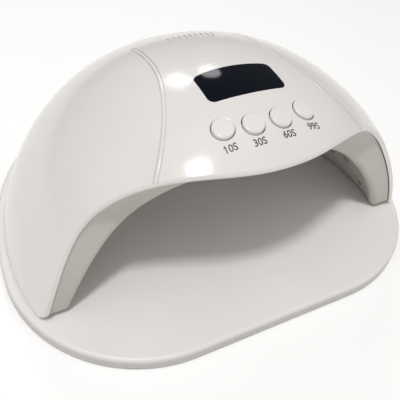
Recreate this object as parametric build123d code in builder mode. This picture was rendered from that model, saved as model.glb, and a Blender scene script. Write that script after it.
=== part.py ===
from build123d import *
import math
import os

os.makedirs("parts", exist_ok=True)

# All sizes are millimetres. +Z is up, the hand goes in from -Y, and z = 0 is the table.

# Tray
TRAY_HALF_W = 110.0
TRAY_FRONT = 95.5
TRAY_BACK = 95.5
TRAY_CORNER_R = 68.0
TRAY_SIDE_R = 172.0
TRAY_SIDE_TURN = 18.6
TRAY_REAR_TURN = 50.5
TRAY_Z = 1.0
TRAY_TOP = 7.0
TRAY_SKIN = 2.0
TRAY_WALL = 2.4
FOOT_R = 6.5
FOOT_SPOTS = [(-72, -68), (72, -68), (-60, 62), (60, 62)]

# Domes: squashed ellipsoids, given by their half axes from a centre below the tray
SHELL = dict(y=-22.6, side=111.4, front=101.2, back=119.7, low=-39.0, top=94.8, plan=2.105, rise=2.178)
VAULT = dict(y=-36.0, side=98.0, front=55.0, back=82.0, low=-40.0, top=68.0, plan=2.4, rise=2.18)
SHELL_WALL = 2.4
VAULT_WALL = 2.0
HEAD_Z = TRAY_TOP + 0.6
FIT = 0.3

# Side view of the front edge of the head, as (y, z) from the foot of the legs to the visor
LIP = [(-56.6, 0.0), (-56.4, 15.0), (-54.4, 32.0), (-51.6, 45.0), (-50.2, 56.0), (-51.9, 64.5),
       (-56.4, 72.2), (-63.2, 77.2), (-73.5, 79.0), (-130.0, 80.5)]
BEZEL_BACK = (0.9, 0.7)
BEZEL_INSIDE = (2.9, 2.4)

# Rounded edges
LEG_FOOT_R = 4.6
BEZEL_FOOT_R = 4.4
LIP_R = 1.6
HOLE_R = 0.35
BEZEL_OUT_R = 0.6
BEZEL_IN_R = 3.0
CAP_R = 0.8

# Control panel, on a plane tilted towards the front
PANEL_TILT = 8.0
PANEL_Y = -38.0
PANEL_Z = 80.6
BOARD_T = 1.6
WINDOW_W = 36.6
WINDOW_LOW = 1.0
WINDOW_HIGH = 17.9
WINDOW_BOW = 2.2
WINDOW_R = 3.0
BUTTON_R = 4.7
BUTTON_GAP = 0.32
BUTTON_FLANGE_R = 5.8
BUTTON_FLANGE_Z = 4.9
BUTTON_PROUD = 1.1
BUTTON_TRAVEL = 0.5
BUTTON_SPOTS = [("10s", -19.0, -12.1), ("30s", -6.4, -14.0), ("60s", 6.4, -14.0), ("99s", 19.0, -12.1)]
SWITCH_BODY_H = 3.2
SWITCH_H = 4.0

# LED boards on the vault: name, slope across, slope along, width, length, LEDs across, LEDs along
LED_BOARDS = [
    ("top", 0.0, 0.05, 66.0, 32.0, 4, 2),
    ("right_shoulder", 0.86, 0.12, 30.0, 34.0, 2, 2),
    ("left_shoulder", -0.86, 0.12, 30.0, 34.0, 2, 2),
    ("right_side", 1.48, 0.42, 13.0, 40.0, 1, 3),
    ("left_side", -1.48, 0.42, 13.0, 40.0, 1, 3),
    ("rear", 0.0, 1.15, 46.0, 24.0, 3, 2),
]
LED_PITCH = 13.0
LED_R = 2.5
LED_LIFT = 0.5

# Hand sensors low on both walls of the vault
SENSOR_ACROSS = 1.80
SENSOR_ALONG = -0.158
SENSOR_R = 1.5

# Seams in the top of the shell, as (x, y) in plan from the visor to the back
SEAM = [(53.5, -64.0), (49.3, -57.4), (43.2, -48.0), (37.4, -36.7), (32.0, -21.8), (28.7, -7.6),
        (27.6, 8.0), (27.4, 24.0)]
SEAM_W = 2.2
SEAM_DEEP = 0.55

# Shallow slanted grooves behind the crown
RIB_COUNT = 9
RIB_PITCH = 2.9
RIB_W = 1.5
RIB_L = 9.0
RIB_Y = 17.5
RIB_DEEP = 0.6

# DC inlet in the back
JACK_Z = 21.0
JACK_FACE_Y = 83.5
JACK_R = 5.5
JACK_FLANGE_R = 7.0
JACK_BORE_R = 2.8
JACK_BORE_L = 9.5
JACK_PIN_R = 1.0

panel = Plane(
    origin=(0, PANEL_Y, PANEL_Z),
    x_dir=(1, 0, 0),
    z_dir=(0, -math.sin(math.radians(PANEL_TILT)), math.cos(math.radians(PANEL_TILT))),
)


def dome_point(dome, grow, across, along):
    """Point of a dome along a direction given as slopes from its centre."""
    side = dome["side"] + grow
    length = (dome["front"] if along < 0 else dome["back"]) + grow
    height = dome["top"] + grow - dome["low"]
    plan = abs(across) ** dome["plan"] + abs(along) ** dome["plan"]
    reach = (plan ** (dome["rise"] / dome["plan"]) + 1) ** (1 / dome["rise"])
    return Vector(side * across / reach, dome["y"] + length * along / reach, dome["low"] + height / reach)


def dome_solid(dome, grow, low):
    """Everything under a dome, grown or shrunk by a wall, above a level."""
    steps = 29
    widest = 72.6
    slopes = [math.tan(math.radians(widest * (2 * i / (steps - 1) - 1))) for i in range(steps)]
    grid = [[dome_point(dome, grow, across, along) for across in slopes] for along in slopes]
    skin = Face.make_surface_from_array_of_points(grid, tol=0.005, min_deg=3, max_deg=3)
    block = Pos(0, 0, low + 60) * Box(300, 300, 120)
    pieces = split(block, bisect_by=skin, keep=Keep.ALL).solids()
    return min(pieces, key=lambda piece: piece.bounding_box().max.Z)


def on_dome(dome, grow, spot):
    """True for a spot that lies within about 0.15 mm of a dome."""
    side = (abs(spot.X) / (dome["side"] + grow)) ** dome["plan"]
    length = (dome["front"] if spot.Y < dome["y"] else dome["back"]) + grow
    along = (abs(spot.Y - dome["y"]) / length) ** dome["plan"]
    height = ((spot.Z - dome["low"]) / (dome["top"] + grow - dome["low"])) ** dome["rise"]
    reach = ((side + along) ** (dome["rise"] / dome["plan"]) + height) ** (1 / dome["rise"])
    return abs(reach - 1) < 0.0015


def dome_edges(part, dome, grow):
    """Edges of a part that run along a dome."""
    shares = (0.1, 0.3, 0.5, 0.7, 0.9)
    return [edge for edge in part.edges() if all(on_dome(dome, grow, edge @ share) for share in shares)]


def dome_plane(dome, grow, across, along):
    """Plane that touches a dome, with its normal pointing outwards."""
    step = 0.01
    spot = dome_point(dome, grow, across, along)
    right = dome_point(dome, grow, across + step, along) - dome_point(dome, grow, across - step, along)
    back = dome_point(dome, grow, across, along + step) - dome_point(dome, grow, across, along - step)
    return Plane(origin=spot, x_dir=right, z_dir=right.cross(back))


def rim_spot(angle, inset, z):
    """Spot inboard of the inside of the shell at a height, along a plan angle from +X."""
    turn = math.radians(angle)
    grow = -SHELL_WALL
    height = SHELL["top"] + grow - SHELL["low"]
    share = (1 - ((z - SHELL["low"]) / height) ** SHELL["rise"]) ** (1 / SHELL["rise"])
    length = (SHELL["back"] if math.sin(turn) > 0 else SHELL["front"]) + grow
    cos = abs(math.cos(turn)) / (SHELL["side"] + grow)
    sin = abs(math.sin(turn)) / length
    reach = share / (cos ** SHELL["plan"] + sin ** SHELL["plan"]) ** (1 / SHELL["plan"]) - inset
    return (reach * math.cos(turn), SHELL["y"] + reach * math.sin(turn))


def behind_lip(shift, foot=0):
    """Everything behind the front edge, moved back by a (y, z) shift, with the foot of the legs rounded."""
    with BuildPart() as region:
        with BuildSketch(Plane.YZ.offset(-130)) as side_view:
            with BuildLine():
                edge = Spline([(y + shift[0], z + shift[1]) for y, z in LIP])
                Polyline(edge @ 1, ((edge @ 1).X, 130), (140, 130), (140, (edge @ 0).Y), edge @ 0)
            make_face()
            if foot:
                with Locations((0, HEAD_Z - 50)):
                    Rectangle(400, 100, mode=Mode.SUBTRACT)
                fillet(side_view.vertices().group_by(Axis.Y)[0].sort_by(Axis.X)[0], foot)
        extrude(amount=260)
    return region.part


def tray_outline(inset):
    """Plan outline of the tray, drawn in by an inset: tangent arcs behind a straight front."""
    wide_y = TRAY_CORNER_R - TRAY_FRONT
    turn_side = math.radians(TRAY_SIDE_TURN)
    turn_rear = math.radians(TRAY_SIDE_TURN + TRAY_REAR_TURN)
    cos_side, sin_side = math.cos(turn_side), math.sin(turn_side)
    cos_rear, sin_rear = math.cos(turn_rear), math.sin(turn_rear)
    across = TRAY_HALF_W - TRAY_SIDE_R * (1 - cos_side)
    along = TRAY_BACK - wide_y - TRAY_SIDE_R * sin_side
    turned = cos_side - cos_rear
    risen = sin_rear - sin_side
    scale = turned * (1 - sin_rear) - cos_rear * risen
    rear_r = (across * (1 - sin_rear) - cos_rear * along) / scale
    back_r = (turned * along - risen * across) / scale
    with BuildSketch() as outline:
        with BuildLine():
            front = Line((0, inset - TRAY_FRONT), (TRAY_HALF_W - TRAY_CORNER_R, inset - TRAY_FRONT))
            corner = JernArc(front @ 1, (1, 0), TRAY_CORNER_R - inset, 90)
            side = JernArc(corner @ 1, (0, 1), TRAY_SIDE_R - inset, TRAY_SIDE_TURN)
            rear = JernArc(side @ 1, side % 1, rear_r - inset, TRAY_REAR_TURN)
            back = JernArc(rear @ 1, rear % 1, back_r - inset, 90 - TRAY_SIDE_TURN - TRAY_REAR_TURN)
            Line(back @ 1, front @ 0)
        make_face()
        mirror(about=Plane.YZ)
    return outline.sketch


def keep(name, part):
    part.label = name
    export_step(part, f"parts/{name}.step")


# ---- tray ----
MAGNET_R = 2.5
MAGNET_T = 2.0
MAGNET_ANGLES = [-12, 66, 114, 192]
SCREW_ANGLES = [10, 48, 132, 170]
magnet_spots = [rim_spot(angle, 4.6, HEAD_Z) for angle in MAGNET_ANGLES]

with BuildPart() as tray:
    with BuildSketch(Plane.XY.offset(TRAY_Z)):
        add(tray_outline(0))
    extrude(amount=TRAY_TOP - TRAY_Z)
    fillet(tray.edges().group_by(Axis.Z)[-1], 2.2)
    chamfer(tray.edges().group_by(Axis.Z)[0], 0.6)
    with BuildSketch(Plane.XY.offset(TRAY_Z)):
        add(tray_outline(TRAY_WALL))
    extrude(amount=TRAY_TOP - TRAY_SKIN - TRAY_Z, mode=Mode.SUBTRACT)
    # ribs that stiffen the underside
    with BuildSketch(Plane.XY.offset(TRAY_Z + 1)) as ribs:
        with Locations((0, -50), (0, 0), (0, 50)):
            Rectangle(2 * TRAY_HALF_W, 1.4)
        with Locations((-45, 0), (0, 0), (45, 0)):
            Rectangle(1.4, 2 * TRAY_BACK)
        add(tray_outline(TRAY_WALL), mode=Mode.INTERSECT)
    extrude(amount=TRAY_TOP - TRAY_SKIN - TRAY_Z - 1)
    # seats for the feet and cups for the magnets
    with BuildSketch(Plane.XY.offset(TRAY_Z)) as seats:
        with Locations(*FOOT_SPOTS):
            Circle(FOOT_R + 1.6)
    extrude(amount=TRAY_TOP - TRAY_SKIN - TRAY_Z)
    with BuildSketch(Plane.XY.offset(TRAY_Z)):
        with Locations(*FOOT_SPOTS):
            Circle(FOOT_R + 0.1)
    extrude(amount=1.0, mode=Mode.SUBTRACT)
    with BuildSketch(Plane.XY.offset(TRAY_Z + 1)):
        with Locations(*magnet_spots):
            Circle(MAGNET_R + 1.6)
    extrude(amount=TRAY_TOP - TRAY_SKIN - TRAY_Z - 1)
    with BuildSketch(Plane.XY.offset(TRAY_Z)):
        with Locations(*magnet_spots):
            Circle(MAGNET_R + 0.05)
    extrude(amount=TRAY_TOP - 1.2 - TRAY_Z, mode=Mode.SUBTRACT)
keep("base_tray", tray.part)

with BuildPart() as feet:
    with BuildSketch():
        with Locations(*FOOT_SPOTS):
            Circle(FOOT_R)
    extrude(amount=TRAY_Z + 0.98)
    fillet(feet.edges().group_by(Axis.Z)[0], 0.5)
keep("tray_feet", feet.part)

with BuildPart() as tray_magnets:
    with BuildSketch(Plane.XY.offset(TRAY_TOP - 1.25 - MAGNET_T)):
        with Locations(*magnet_spots):
            Circle(MAGNET_R)
    extrude(amount=MAGNET_T)
keep("tray_magnets", tray_magnets.part)

# ---- outer shell ----
behind_shell = behind_lip((0, 0), LEG_FOOT_R)
behind_bezel = behind_lip(BEZEL_BACK, BEZEL_FOOT_R)
inside_bezel = behind_lip(BEZEL_INSIDE)
dome_outer = dome_solid(SHELL, 0, HEAD_Z)
dome_inner = dome_solid(SHELL, -SHELL_WALL, HEAD_Z - 1)
dome_hold = dome_solid(SHELL, -SHELL_WALL + 0.6, HEAD_Z)
dome_seam = dome_solid(SHELL, -SEAM_DEEP, HEAD_Z - 1)
screw_spots = [rim_spot(angle, 1.2, HEAD_Z + 16) for angle in SCREW_ANGLES]
post_spots = [(x, y) for x in (-28.0, 28.0) for y in (-8.5, 16.5)]


def window_outline(grow):
    """Display window in the plane of the panel, with a bowed rear edge."""
    half = WINDOW_W / 2 + grow
    low = WINDOW_LOW - grow
    high = WINDOW_HIGH + grow
    with BuildSketch(panel) as outline:
        with BuildLine():
            Line((-half, low), (half, low))
            Line((half, low), (half, high))
            ThreePointArc((half, high), (0, high + WINDOW_BOW), (-half, high))
            Line((-half, high), (-half, low))
        make_face()
        fillet(outline.vertices(), WINDOW_R + grow)
    return outline.sketch


with BuildPart() as seams:
    with BuildSketch(Plane.XY.offset(60)):
        with BuildLine():
            Spline(SEAM)
        trace(line_width=SEAM_W)
    extrude(amount=50)
    mirror(about=Plane.YZ)
seam_cut = seams.part - dome_seam

with BuildPart() as ribs:
    with BuildSketch(Plane.XY.offset(70)):
        with Locations((0, RIB_Y)):
            with GridLocations(RIB_PITCH, 1, RIB_COUNT, 1):
                SlotOverall(RIB_L, RIB_W, rotation=72)
    extrude(amount=30)
rib_cut = ribs.part - dome_solid(SHELL, -RIB_DEEP, HEAD_Z - 1)

with BuildPart() as posts:
    with BuildSketch(panel):
        with Locations(*post_spots):
            Circle(2.8)
    extrude(amount=30)
    with BuildSketch(panel):
        with Locations(*post_spots):
            Circle(0.95)
    extrude(amount=5, mode=Mode.SUBTRACT)
panel_posts = posts.part & dome_hold

with BuildPart() as bosses:
    with BuildSketch(Plane.XY.offset(HEAD_Z + 2.05)):
        with Locations(*screw_spots):
            Circle(2.5)
    extrude(amount=15)
    with BuildSketch(Plane.XY.offset(HEAD_Z + 2.05)):
        with Locations(*screw_spots):
            Circle(1.0)
    extrude(amount=11, mode=Mode.SUBTRACT)
screw_bosses = bosses.part & dome_hold

with BuildPart() as jack_pad:
    with BuildSketch(Plane.XZ.offset(-JACK_FACE_Y + 3.0)):
        with Locations((0, JACK_Z)):
            Circle(JACK_FLANGE_R + 3.0)
    extrude(amount=-12)
jack_seat = jack_pad.part & dome_hold

with BuildPart() as shell:
    add(dome_outer)
    add(dome_inner, mode=Mode.SUBTRACT)
    add(behind_shell, mode=Mode.INTERSECT)
    fillet(dome_edges(shell, SHELL, 0), LIP_R)
    add(seam_cut, mode=Mode.SUBTRACT)
    extrude(window_outline(0.1), amount=25, mode=Mode.SUBTRACT)
    with BuildSketch(panel):
        for name, x, y in BUTTON_SPOTS:
            with Locations((x, y)):
                Circle(BUTTON_R + BUTTON_GAP)
    extrude(amount=25, mode=Mode.SUBTRACT)
    top_edges = [edge for edge in dome_edges(shell, SHELL, 0) if (edge @ 0.5).Z > PANEL_Z]
    fillet([edge for edge in top_edges if abs((edge @ 0.5).X) < 26 and edge.length < 40], HOLE_R)
    add(panel_posts)
    add(screw_bosses)
    add(jack_seat)
    add(rib_cut, mode=Mode.SUBTRACT)
    with BuildSketch(Plane.XZ.offset(-JACK_FACE_Y)):
        with Locations((0, JACK_Z)):
            Circle(JACK_FLANGE_R + 0.8)
    extrude(amount=-20, mode=Mode.SUBTRACT)
    with BuildSketch(Plane.XZ.offset(-70)):
        with Locations((0, JACK_Z)):
            Circle(JACK_R + 0.1)
    extrude(amount=-30, mode=Mode.SUBTRACT)
keep("outer_shell", shell.part)

# ---- inner housing: front bezel, vault and floor flange in one moulding ----
LED_POST_R = 2.4
led_planes = {
    name: dome_plane(VAULT, VAULT_WALL + LED_LIFT, across, along)
    for name, across, along, width, length, columns, rows in LED_BOARDS
}
sensor_planes = [dome_plane(VAULT, VAULT_WALL, side * SENSOR_ACROSS, SENSOR_ALONG) for side in (-1, 1)]


def led_post_spots(width, length):
    """Two fixings near the ends of the longer side of a board."""
    if width > length:
        return [(width / 2 - 3.2, 0), (3.2 - width / 2, 0)]
    return [(0, length / 2 - 3.2), (0, 3.2 - length / 2)]


vault_outer = dome_solid(VAULT, VAULT_WALL, HEAD_Z)
vault_inner = dome_solid(VAULT, 0, HEAD_Z - 1)
vault_skin = vault_outer - vault_inner
bezel_dome = dome_solid(SHELL, -SHELL_WALL - FIT, HEAD_Z)
hollow_dome = dome_solid(SHELL, 1.0, HEAD_Z + 2)
hollow = (hollow_dome & inside_bezel) - vault_outer

with BuildPart() as led_posts:
    for name, across, along, width, length, columns, rows in LED_BOARDS:
        with BuildSketch(led_planes[name]):
            with Locations(*led_post_spots(width, length)):
                Circle(LED_POST_R)
        extrude(amount=-8)
led_feet = led_posts.part - dome_solid(VAULT, VAULT_WALL - 0.8, HEAD_Z - 1)

with BuildPart() as housing:
    add(bezel_dome)
    add(behind_bezel, mode=Mode.INTERSECT)
    face_edges = dome_edges(housing, SHELL, -SHELL_WALL - FIT)
    fillet([edge for edge in face_edges if (edge @ 0.5).Z > HEAD_Z + 1], BEZEL_OUT_R)
    add(hollow, mode=Mode.SUBTRACT)
    add(vault_inner, mode=Mode.SUBTRACT)
    fillet(dome_edges(housing, VAULT, 0), BEZEL_IN_R)
    add(led_feet)
    for name, across, along, width, length, columns, rows in LED_BOARDS:
        with BuildSketch(led_planes[name].offset(1)):
            with GridLocations(LED_PITCH, LED_PITCH, columns, rows):
                Circle(LED_R + 0.6)
        extrude(amount=-14, mode=Mode.SUBTRACT)
        with BuildSketch(led_planes[name]):
            with Locations(*led_post_spots(width, length)):
                Circle(0.8)
        extrude(amount=-1.6, mode=Mode.SUBTRACT)
    for plane in sensor_planes:
        with BuildSketch(plane.offset(1)):
            Circle(SENSOR_R + 0.1)
        extrude(amount=-6, mode=Mode.SUBTRACT)
    with BuildSketch(Plane.XY.offset(HEAD_Z)):
        with Locations(*screw_spots):
            Circle(2.3)
    extrude(amount=1.2, mode=Mode.SUBTRACT)
    with BuildSketch(Plane.XY.offset(HEAD_Z)):
        with Locations(*screw_spots):
            Circle(1.2)
    extrude(amount=2, mode=Mode.SUBTRACT)
keep("inner_housing", housing.part)

# ---- display ----
dome_flange = dome_solid(SHELL, -SHELL_WALL - 0.05, HEAD_Z)
dome_flange_low = dome_solid(SHELL, -SHELL_WALL - 1.2, HEAD_Z)
dome_window = dome_solid(SHELL, -0.1, HEAD_Z)

with BuildPart() as window_plug:
    extrude(window_outline(0), amount=25)
with BuildPart() as window_flange:
    extrude(window_outline(2.0), amount=25)
window_body = (window_plug.part & dome_window) - dome_flange_low
window_rim = (window_flange.part & dome_flange) - dome_flange_low
keep("display_window", Part() + [window_body, window_rim])

with BuildPart() as module:
    with BuildSketch(panel.offset(0.02)):
        with Locations((0, (WINDOW_LOW + WINDOW_HIGH) / 2)):
            Rectangle(37.7, 16.4)
    extrude(amount=6.0)
keep("display_module", module.part)

# ---- control board and what it carries ----
with BuildPart() as board:
    with BuildSketch(panel):
        with Locations((0, 1.5)):
            Rectangle(62.0, 36.6)
        with Locations(*post_spots):
            Circle(1.2, mode=Mode.SUBTRACT)
    extrude(amount=-BOARD_T)
keep("control_board", board.part)

with BuildPart() as board_screws:
    with BuildSketch(panel.offset(-BOARD_T - 0.02)):
        with Locations(*post_spots):
            Circle(2.0)
    extrude(amount=-1.4)
    with BuildSketch(panel.offset(-BOARD_T - 0.02)):
        with Locations(*post_spots):
            Circle(0.92)
    extrude(amount=BOARD_T + 4.5)
keep("board_screws", board_screws.part)

with BuildPart() as switches:
    with BuildSketch(panel.offset(0.02)):
        for name, x, y in BUTTON_SPOTS:
            with Locations((x, y)):
                Rectangle(6.0, 6.0)
    extrude(amount=SWITCH_BODY_H)
    with BuildSketch(panel.offset(SWITCH_BODY_H)):
        for name, x, y in BUTTON_SPOTS:
            with Locations((x, y)):
                Circle(1.75)
    extrude(amount=SWITCH_H - SWITCH_BODY_H)
keep("tact_switches", switches.part)

with BuildPart() as chips:
    with BuildSketch(panel.offset(-BOARD_T - 0.02)):
        with Locations((-6.5, 9)):
            Rectangle(8.0, 6.0)
        with Locations((4.2, 3), (4.2, 9)):
            Rectangle(5.0, 4.0)
    extrude(amount=-1.5)
keep("board_chips", chips.part)

HEADER_X = [-18.0, -9.0, 0.0, 9.0, 18.0]
with BuildPart() as headers:
    with BuildSketch(panel.offset(-BOARD_T - 0.02)):
        with Locations(*[(x, -8) for x in HEADER_X]):
            Rectangle(6.0, 4.4)
    extrude(amount=-4.0)
keep("board_headers", headers.part)

# ---- timer buttons ----
button_skin = dome_solid(SHELL, BUTTON_PROUD, HEAD_Z)
for name, x, y in BUTTON_SPOTS:
    with BuildPart() as column:
        with BuildSketch(panel.offset(BUTTON_FLANGE_Z)):
            with Locations((x, y)):
                Circle(BUTTON_R)
        extrude(amount=20)
    with BuildPart() as button:
        add(column.part & button_skin)
        fillet(dome_edges(button, SHELL, BUTTON_PROUD), CAP_R)
        with BuildSketch(panel.offset(BUTTON_FLANGE_Z)):
            with Locations((x, y)):
                Circle(BUTTON_FLANGE_R)
        extrude(amount=0.9)
    keep(f"button_{name}", button.part)

# ---- LED boards, LEDs and their screws ----
for name, across, along, width, length, columns, rows in LED_BOARDS:
    plane = led_planes[name]
    ends = led_post_spots(width, length)
    with BuildPart() as led_board:
        with BuildSketch(plane.offset(0.02)):
            Rectangle(width, length)
            with Locations(*ends):
                Circle(0.9, mode=Mode.SUBTRACT)
        extrude(amount=1.2)
    keep(f"led_board_{name}", led_board.part)
    with BuildPart() as beads:
        with BuildSketch(plane):
            with GridLocations(LED_PITCH, LED_PITCH, columns, rows):
                Circle(LED_R)
        extrude(amount=-2.3)
        tips = [edge for edge in beads.edges() if plane.to_local_coords(edge.center()).Z < -2]
        fillet(tips, 1.3)
    keep(f"leds_{name}", beads.part)

with BuildPart() as led_screws:
    for name, across, along, width, length, columns, rows in LED_BOARDS:
        plane = led_planes[name]
        with BuildSketch(plane.offset(1.24)):
            with Locations(*led_post_spots(width, length)):
                Circle(1.6)
        extrude(amount=1.0)
        with BuildSketch(plane.offset(1.24)):
            with Locations(*led_post_spots(width, length)):
                Circle(0.75)
        extrude(amount=-2.6)
keep("led_board_screws", led_screws.part)

# ---- hand sensors ----
for name, plane in zip(("ir_emitter", "ir_receiver"), sensor_planes):
    with BuildPart() as sensor:
        with BuildSketch(plane.offset(0.3)):
            Circle(2.0)
        extrude(amount=1.2)
        with BuildSketch(plane.offset(0.3)):
            Circle(SENSOR_R)
        extrude(amount=-2.0)
        fillet(sensor.edges().filter_by(lambda edge: plane.to_local_coords(edge.center()).Z < -1.5), 0.9)
    keep(name, sensor.part)

with BuildPart() as sensor_boards:
    for plane in sensor_planes:
        with BuildSketch(plane.offset(1.52)):
            Rectangle(7.0, 8.0)
        extrude(amount=1.0)
keep("sensor_boards", sensor_boards.part)

# ---- magnets and screws of the head ----
with BuildPart() as head_magnets:
    with BuildSketch(Plane.XY.offset(HEAD_Z + 2.02)):
        with Locations(*magnet_spots):
            Circle(MAGNET_R)
    extrude(amount=MAGNET_T)
keep("head_magnets", head_magnets.part)

with BuildPart() as shell_screws:
    with BuildSketch(Plane.XY.offset(HEAD_Z + 0.2)):
        with Locations(*screw_spots):
            Circle(2.1)
    extrude(amount=0.98)
    with BuildSketch(Plane.XY.offset(HEAD_Z + 0.2)):
        with Locations(*screw_spots):
            Circle(0.97)
    extrude(amount=11.5)
keep("shell_screws", shell_screws.part)

# ---- DC inlet ----
back = Plane(origin=(0, JACK_FACE_Y, JACK_Z), x_dir=(-1, 0, 0), z_dir=(0, 1, 0))
with BuildPart() as jack:
    with BuildSketch(back.offset(-15)):
        Circle(JACK_R)
    extrude(amount=15)
    with BuildSketch(back.offset(0.02)):
        Circle(JACK_FLANGE_R)
    extrude(amount=1.4)
    with BuildSketch(back.offset(0)):
        Circle(JACK_R)
    extrude(amount=0.5)
    chamfer(jack.edges().group_by(Axis.Y)[-1], 0.3)
    with BuildSketch(back.offset(1.42)):
        Circle(JACK_BORE_R)
    extrude(amount=-JACK_BORE_L, mode=Mode.SUBTRACT)
    with BuildSketch(back.offset(1.42)):
        Circle(JACK_PIN_R + 0.01)
    extrude(amount=-JACK_BORE_L - 4, mode=Mode.SUBTRACT)
keep("dc_jack", jack.part)

with BuildPart() as jack_pin:
    with BuildSketch(back.offset(1.42 - JACK_BORE_L - 3.9)):
        Circle(JACK_PIN_R)
    extrude(amount=JACK_BORE_L + 3.4)
    fillet(jack_pin.edges().group_by(Axis.Y)[-1], 0.5)
keep("jack_pin", jack_pin.part)

with BuildPart() as jack_nut:
    with BuildSketch(back.offset(-3.05)):
        RegularPolygon(8.2, 6)
        Circle(JACK_R + 0.02, mode=Mode.SUBTRACT)
    extrude(amount=-2.2)
keep("jack_nut", jack_nut.part)

# ---- leads ----
LEAD_R = 0.9


def panel_spot(x, y, z):
    return tuple(panel.from_local_coords(Vector(x, y, z)))


def board_spot(name, x, y, z):
    return tuple(led_planes[name].from_local_coords(Vector(x, y, z)))


def lead(points, radius):
    """Round lead that follows a smooth path."""
    with BuildPart() as core:
        with BuildLine() as route:
            path = Spline(points)
        with BuildSketch(Plane(origin=path @ 0, z_dir=path % 0)):
            Circle(radius)
        sweep(path=path)
    return core.part


led_leads = [lead([panel_spot(0, -5.6, -3.6), (0, -12, 77.5), (0, 14, 67), (0, 28, 50),
                   board_spot("rear", 0, 3, 3.0)], LEAD_R)]
led_leads.append(lead([panel_spot(-3, -5.6, -3.6), (-4, -36, 76.4), board_spot("top", -6, 8, 2.4)], LEAD_R))
for side, name in ((1, "right"), (-1, "left")):
    led_leads.append(lead([panel_spot(9 * side, -5.6, -3.6), (16 * side, -28, 77.5), (38 * side, -12, 72),
                           board_spot(name + "_shoulder", 2 * side, 6, 2.6)], LEAD_R))
    led_leads.append(lead([panel_spot(18 * side, -5.6, -3.6), (27 * side, -24, 78), (52 * side, 2, 68),
                           (74 * side, 0, 47), board_spot(name + "_side", 0, 6, 2.6)], LEAD_R))
keep("led_leads", Part() + led_leads)

sensor_leads = []
for side, plane in zip((-1, 1), sensor_planes):
    start = tuple(plane.from_local_coords(Vector(0, 0, 3.4)))
    sensor_leads.append(lead([start, (88 * side, -43, 28), (73 * side, -43, 48), (50 * side, -40, 68),
                              panel_spot(28 * side, -2, -3.0)], 0.7))
keep("sensor_leads", Part() + sensor_leads)

jack_lead = lead([(0, JACK_FACE_Y - 16.2, JACK_Z), (2, 60, 25), (10, 46, 50), (10, 8, 75),
                  panel_spot(10, 16, -3.0)], 1.2)
keep("jack_lead", jack_lead)
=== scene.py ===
import math

import bmesh
import bpy
from mathutils import Matrix, Vector
from mathutils.bvhtree import BVHTree


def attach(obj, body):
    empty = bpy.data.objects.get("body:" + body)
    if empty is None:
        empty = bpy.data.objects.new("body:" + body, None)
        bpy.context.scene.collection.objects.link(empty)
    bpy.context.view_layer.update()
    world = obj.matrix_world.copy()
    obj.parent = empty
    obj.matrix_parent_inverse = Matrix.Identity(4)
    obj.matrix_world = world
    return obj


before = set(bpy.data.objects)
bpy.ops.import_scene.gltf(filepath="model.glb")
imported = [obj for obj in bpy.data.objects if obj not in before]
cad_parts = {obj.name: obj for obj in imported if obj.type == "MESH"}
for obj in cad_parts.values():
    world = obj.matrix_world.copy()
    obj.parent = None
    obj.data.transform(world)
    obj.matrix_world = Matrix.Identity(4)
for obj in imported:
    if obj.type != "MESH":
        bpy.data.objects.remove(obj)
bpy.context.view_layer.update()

# ---------------------------------------------------------------------------
# Sizes, in metres unless a name says otherwise
# ---------------------------------------------------------------------------
MM = 0.001

# Camera angles are in radians: yaw from +Y towards +X, pitch below level, roll about the view
CAMERA_PLACE = (-0.1101, -0.1889, 0.2156)
CAMERA_YAW = 0.554127
CAMERA_PITCH = 0.792149
CAMERA_ROLL = 0.133760
CAMERA_LENS_MM = 47.7

CAMERA_SENSOR_MM = 36.0

FLOOR_SIZE = 4.0

GRAIN_DEPTH = 0.00006
METAL_GRAIN_DEPTH = 0.00003
COAT_ROUGHNESS = 0.06


# ---------------------------------------------------------------------------
# Materials
# ---------------------------------------------------------------------------
def new_material(name):
    """An empty node material with its principled shader and a shared object-space position."""
    material = bpy.data.materials.new(name)
    material.use_nodes = True
    tree = material.node_tree
    shader = tree.nodes["Principled BSDF"]
    place = tree.nodes.new("ShaderNodeTexCoord").outputs["Object"]
    return material, tree, shader, place


def noise(tree, place, scale, detail=3.0, roughness=0.55):
    """Procedural noise over a position."""
    node = tree.nodes.new("ShaderNodeTexNoise")
    node.inputs["Scale"].default_value = scale
    node.inputs["Detail"].default_value = detail
    node.inputs["Roughness"].default_value = roughness
    tree.links.new(place, node.inputs["Vector"])
    return node.outputs["Fac"]


def spread(tree, value, low, high, start=0.3, end=0.7):
    """Maps a value between start and end onto the range low to high."""
    node = tree.nodes.new("ShaderNodeMapRange")
    node.inputs["From Min"].default_value = start
    node.inputs["From Max"].default_value = end
    node.inputs["To Min"].default_value = low
    node.inputs["To Max"].default_value = high
    tree.links.new(value, node.inputs["Value"])
    return node.outputs["Result"]


def ramp(tree, value, stops):
    """Turns a value into a colour, by stops of position and colour."""
    node = tree.nodes.new("ShaderNodeValToRGB")
    node.color_ramp.elements[0].position = stops[0][0]
    node.color_ramp.elements[0].color = (*stops[0][1], 1)
    node.color_ramp.elements[1].position = stops[-1][0]
    node.color_ramp.elements[1].color = (*stops[-1][1], 1)
    for position, colour in stops[1:-1]:
        element = node.color_ramp.elements.new(position)
        element.color = (*colour, 1)
    tree.links.new(value, node.inputs["Fac"])
    return node.outputs["Color"]


def bump(tree, shader, value, strength, distance):
    """Uses a value as fine relief of a surface."""
    node = tree.nodes.new("ShaderNodeBump")
    node.inputs["Strength"].default_value = strength
    node.inputs["Distance"].default_value = distance
    tree.links.new(value, node.inputs["Height"])
    tree.links.new(node.outputs["Normal"], shader.inputs["Normal"])


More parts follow.
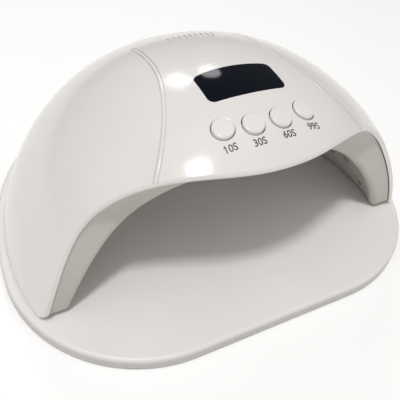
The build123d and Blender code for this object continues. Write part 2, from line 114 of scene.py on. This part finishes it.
def moulded_plastic(name, dark, light, rough, grain, coat=0.0, patch=22.0, bump_strength=0.12,
                    gloss=0.5, side=1.0):
    """Injection moulded plastic: faint colour drift, uneven gloss and a fine surface texture.
    Upright faces take side times the tone of level ones: painted shade, as if less light fell on them."""
    material, tree, shader, place = new_material(name)
    drift = noise(tree, place, patch, 4.0)
    tone = ramp(tree, drift, [(0.35, dark), (0.65, light)])
    # Painted shade: darkens upright faces by the z of their normal, standing in for less light on them.
    if side < 1.0:
        shade_by_facing = tree.nodes.new("ShaderNodeSeparateXYZ")
        tree.links.new(tree.nodes.new("ShaderNodeNewGeometry").outputs["Normal"], shade_by_facing.inputs["Vector"])
        scale = tree.nodes.new("ShaderNodeVectorMath")
        scale.operation = "SCALE"
        tree.links.new(tone, scale.inputs[0])
        tree.links.new(spread(tree, shade_by_facing.outputs["Z"], side, 1.0, 0.1, 0.95), scale.inputs["Scale"])
        tone = scale.outputs["Vector"]
    tree.links.new(tone, shader.inputs["Base Color"])
    wear = noise(tree, place, patch * 6.0, 5.0, 0.65)
    tree.links.new(spread(tree, wear, rough[0], rough[1]), shader.inputs["Roughness"])
    bump(tree, shader, noise(tree, place, grain, 2.0), bump_strength, GRAIN_DEPTH)
    shader.inputs["Coat Weight"].default_value = coat
    shader.inputs["Coat Roughness"].default_value = COAT_ROUGHNESS
    shader.inputs["Specular IOR Level"].default_value = gloss
    return material


def brushed_metal(name, dark, light, rough):
    """Plated metal with a fine grain and uneven gloss."""
    material, tree, shader, place = new_material(name)
    shader.inputs["Metallic"].default_value = 1.0
    tree.links.new(ramp(tree, noise(tree, place, 900.0, 4.0), [(0.3, dark), (0.7, light)]),
                   shader.inputs["Base Color"])
    tree.links.new(spread(tree, noise(tree, place, 400.0, 4.0), rough[0], rough[1]),
                   shader.inputs["Roughness"])
    bump(tree, shader, noise(tree, place, 2600.0), 0.15, METAL_GRAIN_DEPTH)
    return material


def make_materials():
    """One material for each slot in the record."""
    made = {}
    made["shell_plastic"] = moulded_plastic(
        "shell_gloss_white", (0.745, 0.725, 0.705), (0.765, 0.745, 0.725), (0.12, 0.18), 1500,
        bump_strength=0.03)
    made["button_plastic"] = moulded_plastic(
        "button_gloss_white", (0.755, 0.735, 0.715), (0.775, 0.755, 0.735), (0.16, 0.24), 1800,
        bump_strength=0.04)
    # Painted shade: the housing is white plastic like the shell, given a darker grey so the cavity and bezel
    # look shaded.
    made["housing_plastic"] = moulded_plastic(
        "housing_satin_white_painted_shade", (0.50, 0.478, 0.447), (0.53, 0.508, 0.476), (0.42, 0.56), 2400)
    # Painted shade: the tray's upright faces take 0.64 of the tone of its top.
    made["tray_plastic"] = moulded_plastic(
        "tray_satin_white_painted_side_shade", (0.81, 0.79, 0.77), (0.835, 0.815, 0.795), (0.36, 0.48), 2200, side=0.64)
    made["window_plastic"] = moulded_plastic(
        "window_smoked", (0.0035, 0.005, 0.0085), (0.0045, 0.0065, 0.011), (0.05, 0.09), 1200,
        bump_strength=0.01, gloss=0.08)
    made["foot_rubber"] = moulded_plastic(
        "foot_rubber", (0.03, 0.03, 0.031), (0.05, 0.05, 0.05), (0.75, 0.92), 1500, bump_strength=0.4)
    made["black_plastic"] = moulded_plastic(
        "black_plastic", (0.012, 0.012, 0.013), (0.022, 0.022, 0.023), (0.35, 0.5), 1600)
    made["header_plastic"] = moulded_plastic(
        "header_cream", (0.62, 0.60, 0.52), (0.70, 0.68, 0.60), (0.4, 0.55), 1600)
    made["green_board"] = moulded_plastic(
        "solder_mask_green", (0.012, 0.10, 0.04), (0.02, 0.14, 0.06), (0.25, 0.4), 700, coat=0.3)
    made["white_board"] = moulded_plastic(
        "solder_mask_white", (0.68, 0.68, 0.66), (0.76, 0.76, 0.74), (0.3, 0.45), 700, coat=0.2)
    made["magnet_metal"] = brushed_metal("nickel_plate", (0.55, 0.54, 0.52), (0.7, 0.69, 0.67), (0.2, 0.35))
    made["steel_screw"] = brushed_metal("zinc_steel", (0.45, 0.45, 0.46), (0.62, 0.62, 0.62), (0.28, 0.45))
    made["contact_metal"] = brushed_metal("tin_contact", (0.6, 0.58, 0.53), (0.75, 0.73, 0.7), (0.18, 0.3))
    made["sensor_lens"] = moulded_plastic(
        "sensor_lens_dark", (0.006, 0.005, 0.008), (0.012, 0.01, 0.014), (0.08, 0.16), 900, coat=0.5)
    made["led_lens"] = moulded_plastic(
        "led_lens", (0.55, 0.56, 0.50), (0.66, 0.67, 0.60), (0.08, 0.18), 900, coat=0.5)
    made["lead_jacket"] = moulded_plastic(
        "lead_red", (0.35, 0.02, 0.015), (0.45, 0.03, 0.02), (0.4, 0.55), 1500)
    made["lead_jacket_dark"] = moulded_plastic(
        "lead_black", (0.015, 0.015, 0.016), (0.03, 0.03, 0.03), (0.4, 0.55), 1500)
    return made


materials = make_materials()


def dress_nodes():
    """Every CAD node takes the procedural material of its slot in the record."""
    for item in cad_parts.values():
        slot = item.data.materials[0].name.split(".")[0]
        item.data.materials.clear()
        item.data.materials.append(materials[slot])


# ---------------------------------------------------------------------------
# Floor, light and camera
# ---------------------------------------------------------------------------
def soft_light(name, place, target, size, power, colour):
    """A round area light turned towards a target."""
    lamp = bpy.data.lights.new(name, "AREA")
    lamp.shape = "DISK"
    lamp.size = size
    lamp.energy = power
    lamp.color = colour
    item = bpy.data.objects.new(name, lamp)
    bpy.context.scene.collection.objects.link(item)
    item.location = place
    item.rotation_mode = "QUATERNION"
    item.rotation_quaternion = (Vector(target) - Vector(place)).to_track_quat("-Z", "Y")


def make_stage():
    """The pale floor, the sky that darkens towards the back, and the lights."""
    mesh = bpy.data.meshes.new("floor")
    made = bmesh.new()
    bmesh.ops.create_grid(made, x_segments=8, y_segments=8, size=FLOOR_SIZE)
    made.to_mesh(mesh)
    made.free()
    floor = bpy.data.objects.new("floor", mesh)
    bpy.context.scene.collection.objects.link(floor)
    material, tree, shader, place = new_material("pale_floor")
    paper = ramp(tree, noise(tree, place, 3.0), [(0.3, (0.985, 0.985, 0.985)), (0.7, (0.995, 0.995, 0.995))])
    tree.links.new(paper, shader.inputs["Base Color"])
    shader.inputs["Roughness"].default_value = 0.75
    shader.inputs["Specular IOR Level"].default_value = 0.2
    shader.inputs["Emission Color"].default_value = (1.0, 1.0, 1.0, 1)
    shader.inputs["Emission Strength"].default_value = 0.06
    mesh.materials.append(material)

    world = bpy.data.worlds.new("studio")
    world.use_nodes = True
    sky = world.node_tree.nodes["Background"]
    tree = world.node_tree
    split = tree.nodes.new("ShaderNodeSeparateXYZ")
    tree.links.new(tree.nodes.new("ShaderNodeTexCoord").outputs["Generated"], split.inputs["Vector"])
    backward = spread(tree, split.outputs["Y"], 0.0, 1.0, -0.9, 0.9)
    tree.links.new(ramp(tree, backward, SKY_STOPS), sky.inputs["Color"])
    sky.inputs["Strength"].default_value = WORLD_STRENGTH
    bpy.context.scene.world = world
    for light in LIGHTS:
        soft_light(*light)
    bpy.context.scene.view_settings.view_transform = "Standard"
    bpy.context.scene.view_settings.exposure = 0.0


AIM_HEIGHT = 0.09


def aimed(azimuth, elevation, distance):
    """A point at a bearing from the lamp, in degrees: azimuth 0 is +Y, 90 is +X."""
    a, e = math.radians(azimuth), math.radians(elevation)
    return (distance * math.sin(a) * math.cos(e), distance * math.cos(a) * math.cos(e),
            AIM_HEIGHT + distance * math.sin(e))


LAMP_HEART = (0, -0.02, 0.06)
WORLD_STRENGTH = 0.5
SKY_STOPS = [(0.0, (1.0, 0.99, 0.975)), (0.5, (0.88, 0.87, 0.86)), (1.0, (0.42, 0.42, 0.42))]
LIGHTS = [
    ("key", aimed(-137, 72.5, 1.2), LAMP_HEART, 0.17, 6.6, (1, 0.99, 0.975)),
    ("overhead", (-0.1, -0.3, 1.4), LAMP_HEART, 1.4, 2.2, (1, 0.99, 0.975)),
    ("back_core", aimed(9.5, 40, 1.2), LAMP_HEART, 0.16, 1.1, (1, 0.99, 0.98)),
    ("back_wing", aimed(26, 36, 1.2), LAMP_HEART, 0.15, 0.7, (1, 0.99, 1.0)),
    ("left_fill", aimed(-80, 35, 1.3), LAMP_HEART, 0.9, 0.6, (1, 0.985, 0.965)),
]


def make_camera():
    """The camera, from its place, angles and lens."""
    lens = bpy.data.cameras.new("camera")
    lens.lens = CAMERA_LENS_MM
    lens.sensor_width = CAMERA_SENSOR_MM
    lens.clip_start = 0.01
    item = bpy.data.objects.new("camera", lens)
    bpy.context.scene.collection.objects.link(item)
    flat = math.cos(CAMERA_PITCH)
    ahead = Vector((math.sin(CAMERA_YAW) * flat, math.cos(CAMERA_YAW) * flat, -math.sin(CAMERA_PITCH)))
    level = Vector((math.cos(CAMERA_YAW), -math.sin(CAMERA_YAW), 0))
    upright = level.cross(ahead)
    right = level * math.cos(CAMERA_ROLL) + upright * math.sin(CAMERA_ROLL)
    up = upright * math.cos(CAMERA_ROLL) - level * math.sin(CAMERA_ROLL)
    item.matrix_world = Matrix((
        (right.x, up.x, -ahead.x, CAMERA_PLACE[0]),
        (right.y, up.y, -ahead.y, CAMERA_PLACE[1]),
        (right.z, up.z, -ahead.z, CAMERA_PLACE[2]),
        (0, 0, 0, 1)))
    bpy.context.scene.camera = item


# ---------------------------------------------------------------------------
# The dome of the shell, in millimetres, the same as the CAD dome
# ---------------------------------------------------------------------------
SHELL = dict(y=-22.6, side=111.4, front=101.2, back=119.7, low=-39.0, top=94.8, plan=2.105, rise=2.178)


def dome_height(dome, x, y):
    """Height of a dome over a plan position, in millimetres."""
    length = dome["front"] if y < dome["y"] else dome["back"]
    plan = (abs(x) / dome["side"]) ** dome["plan"] + (abs(y - dome["y"]) / length) ** dome["plan"]
    rise = max(0.0, 1 - plan ** (dome["rise"] / dome["plan"])) ** (1 / dome["rise"])
    return dome["low"] + (dome["top"] - dome["low"]) * rise


# ---------------------------------------------------------------------------
# Printed time labels: words and plan place, all in millimetres
# ---------------------------------------------------------------------------
LABELS = [("10S", -19.5, -59.8), ("30S", -7.2, -61.1), ("60S", 6.6, -60.9), ("99S", 19.8, -59.3)]
LABEL_HEIGHT = 2.85
LABEL_PROUD = 0.03
LABEL_THICKEN = 0.05
CAPITAL_SHARE = 0.70
# The slanted flag of the digit 1, from the top left corner of its stem
FLAG = [(0, 0), (-0.6, -0.55), (-0.6, -0.95), (0, -0.6)]
FLAG_INSET = 0.05
STEM_REACH = 0.3


def make_labels():
    """Printed times in front of the buttons, laid on the dome of the shell."""
    material, tree, shader, place = new_material("label_ink")
    ink = ramp(tree, noise(tree, place, 3000.0), [(0.3, (0.05, 0.048, 0.055)), (0.7, (0.085, 0.08, 0.09))])
    tree.links.new(ink, shader.inputs["Base Color"])
    tree.links.new(spread(tree, noise(tree, place, 1500.0), 0.35, 0.5), shader.inputs["Roughness"])
    for words, x, y in LABELS:
        curve = bpy.data.curves.new("label_" + words.lower(), "FONT")
        curve.body = words
        curve.size = LABEL_HEIGHT / CAPITAL_SHARE
        curve.offset = LABEL_THICKEN
        curve.align_x = "CENTER"
        curve.align_y = "CENTER"
        curve.resolution_u = 6
        text = bpy.data.objects.new("text", curve)
        bpy.context.scene.collection.objects.link(text)
        bpy.context.view_layer.update()
        mesh = bpy.data.meshes.new_from_object(text.evaluated_get(bpy.context.evaluated_depsgraph_get()))
        bpy.data.objects.remove(text)
        mesh.name = "label_" + words.lower()
        work = bmesh.new()
        work.from_mesh(mesh)
        if words.startswith("1"):
            left = min(vertex.co.x for vertex in work.verts) + FLAG_INSET
            top = max(vertex.co.y for vertex in work.verts if vertex.co.x < left + STEM_REACH)
            work.faces.new([work.verts.new((left + dx, top + dy, 0)) for dx, dy in FLAG])
        for vertex in work.verts:
            across, along = x + vertex.co.x, y + vertex.co.y
            vertex.co = (across * MM, along * MM, (dome_height(SHELL, across, along) + LABEL_PROUD) * MM)
        work.to_mesh(mesh)
        work.free()
        mesh.materials.clear()
        mesh.materials.append(material)
        label = bpy.data.objects.new("label_" + words.lower(), mesh)
        bpy.context.scene.collection.objects.link(label)
        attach(label, "head")


# ---------------------------------------------------------------------------
# Beads in the seams of the shell, in millimetres: plan path, and section as (reach, rise)
# ---------------------------------------------------------------------------
BEAD_PATH = [(53.5, -64.0), (49.3, -57.4), (43.2, -48.0), (37.4, -36.7), (32.0, -21.8), (28.7, -7.6),
             (27.6, 8.0), (27.4, 22.5)]
BEAD_SECTION = [(-0.72, -0.75), (-0.72, -0.10), (-0.60, 0.05), (-0.30, 0.13), (0.0, 0.15), (0.30, 0.13),
                (0.60, 0.05), (0.72, -0.10), (0.72, -0.75)]
BEAD_STEPS = 14
GROOVE_DEEP = 0.55
RAY_START = 0.2  # metres, above the whole lamp


def through(points, steps):
    """A smooth curve through plan points, as positions with their unit normals."""
    ends = [2 * Vector(points[0]) - Vector(points[1]), 2 * Vector(points[-1]) - Vector(points[-2])]
    knots = [ends[0]] + [Vector(point) for point in points] + [ends[1]]
    found = []
    for a, b, c, d in zip(knots, knots[1:], knots[2:], knots[3:]):
        for step in range(steps):
            t = step / steps
            place = 0.5 * (2 * b + (c - a) * t + (2 * a - 5 * b + 4 * c - d) * t ** 2
                           + (3 * b - a - 3 * c + d) * t ** 3)
            slope = (0.5 * ((c - a) + 2 * (2 * a - 5 * b + 4 * c - d) * t
                            + 3 * (3 * b - a - 3 * c + d) * t ** 2)).normalized()
            found.append((place, Vector((-slope.y, slope.x))))
    return found


def make_seam_beads():
    """The raised bead in the seam groove on each side of the crown, wherever there is shell under it."""
    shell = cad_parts["outer_shell"]
    work = bmesh.new()
    work.from_mesh(shell.data)
    work.transform(shell.matrix_world)
    tree = BVHTree.FromBMesh(work)
    work.free()
    for name, side in (("seam_bead_left", -1), ("seam_bead_right", 1)):
        made = bmesh.new()
        rings = []
        for place, normal in through(BEAD_PATH, BEAD_STEPS):
            spots = [(side * (place.x + normal.x * reach), place.y + normal.y * reach)
                     for reach, _ in (BEAD_SECTION[0], BEAD_SECTION[4], BEAD_SECTION[-1])]
            inside = True
            for x, y in spots:
                hit = tree.ray_cast(Vector((x * MM, y * MM, RAY_START)), Vector((0, 0, -1)))[0]
                surface = dome_height(SHELL, x, y)
                inside = inside and hit is not None and surface - hit.z / MM < 3 * GROOVE_DEEP
            if not inside:
                continue
            ring = []
            for reach, rise in BEAD_SECTION:
                x, y = side * (place.x + normal.x * reach), place.y + normal.y * reach
                ring.append(made.verts.new((x * MM, y * MM, (dome_height(SHELL, x, y) + rise) * MM)))
            rings.append(ring)
        for one, two in zip(rings, rings[1:]):
            for k in range(len(one)):
                after = (k + 1) % len(one)
                made.faces.new([one[k], one[after], two[after], two[k]]).smooth = True
        made.faces.new(rings[0])
        made.faces.new(list(reversed(rings[-1])))
        bmesh.ops.recalc_face_normals(made, faces=made.faces)
        mesh = bpy.data.meshes.new(name)
        made.to_mesh(mesh)
        made.free()
        mesh.materials.append(materials["shell_plastic"])
        bead = bpy.data.objects.new(name, mesh)
        bpy.context.scene.collection.objects.link(bead)
        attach(bead, "head")


dress_nodes()
make_seam_beads()
make_labels()
make_stage()
make_camera()
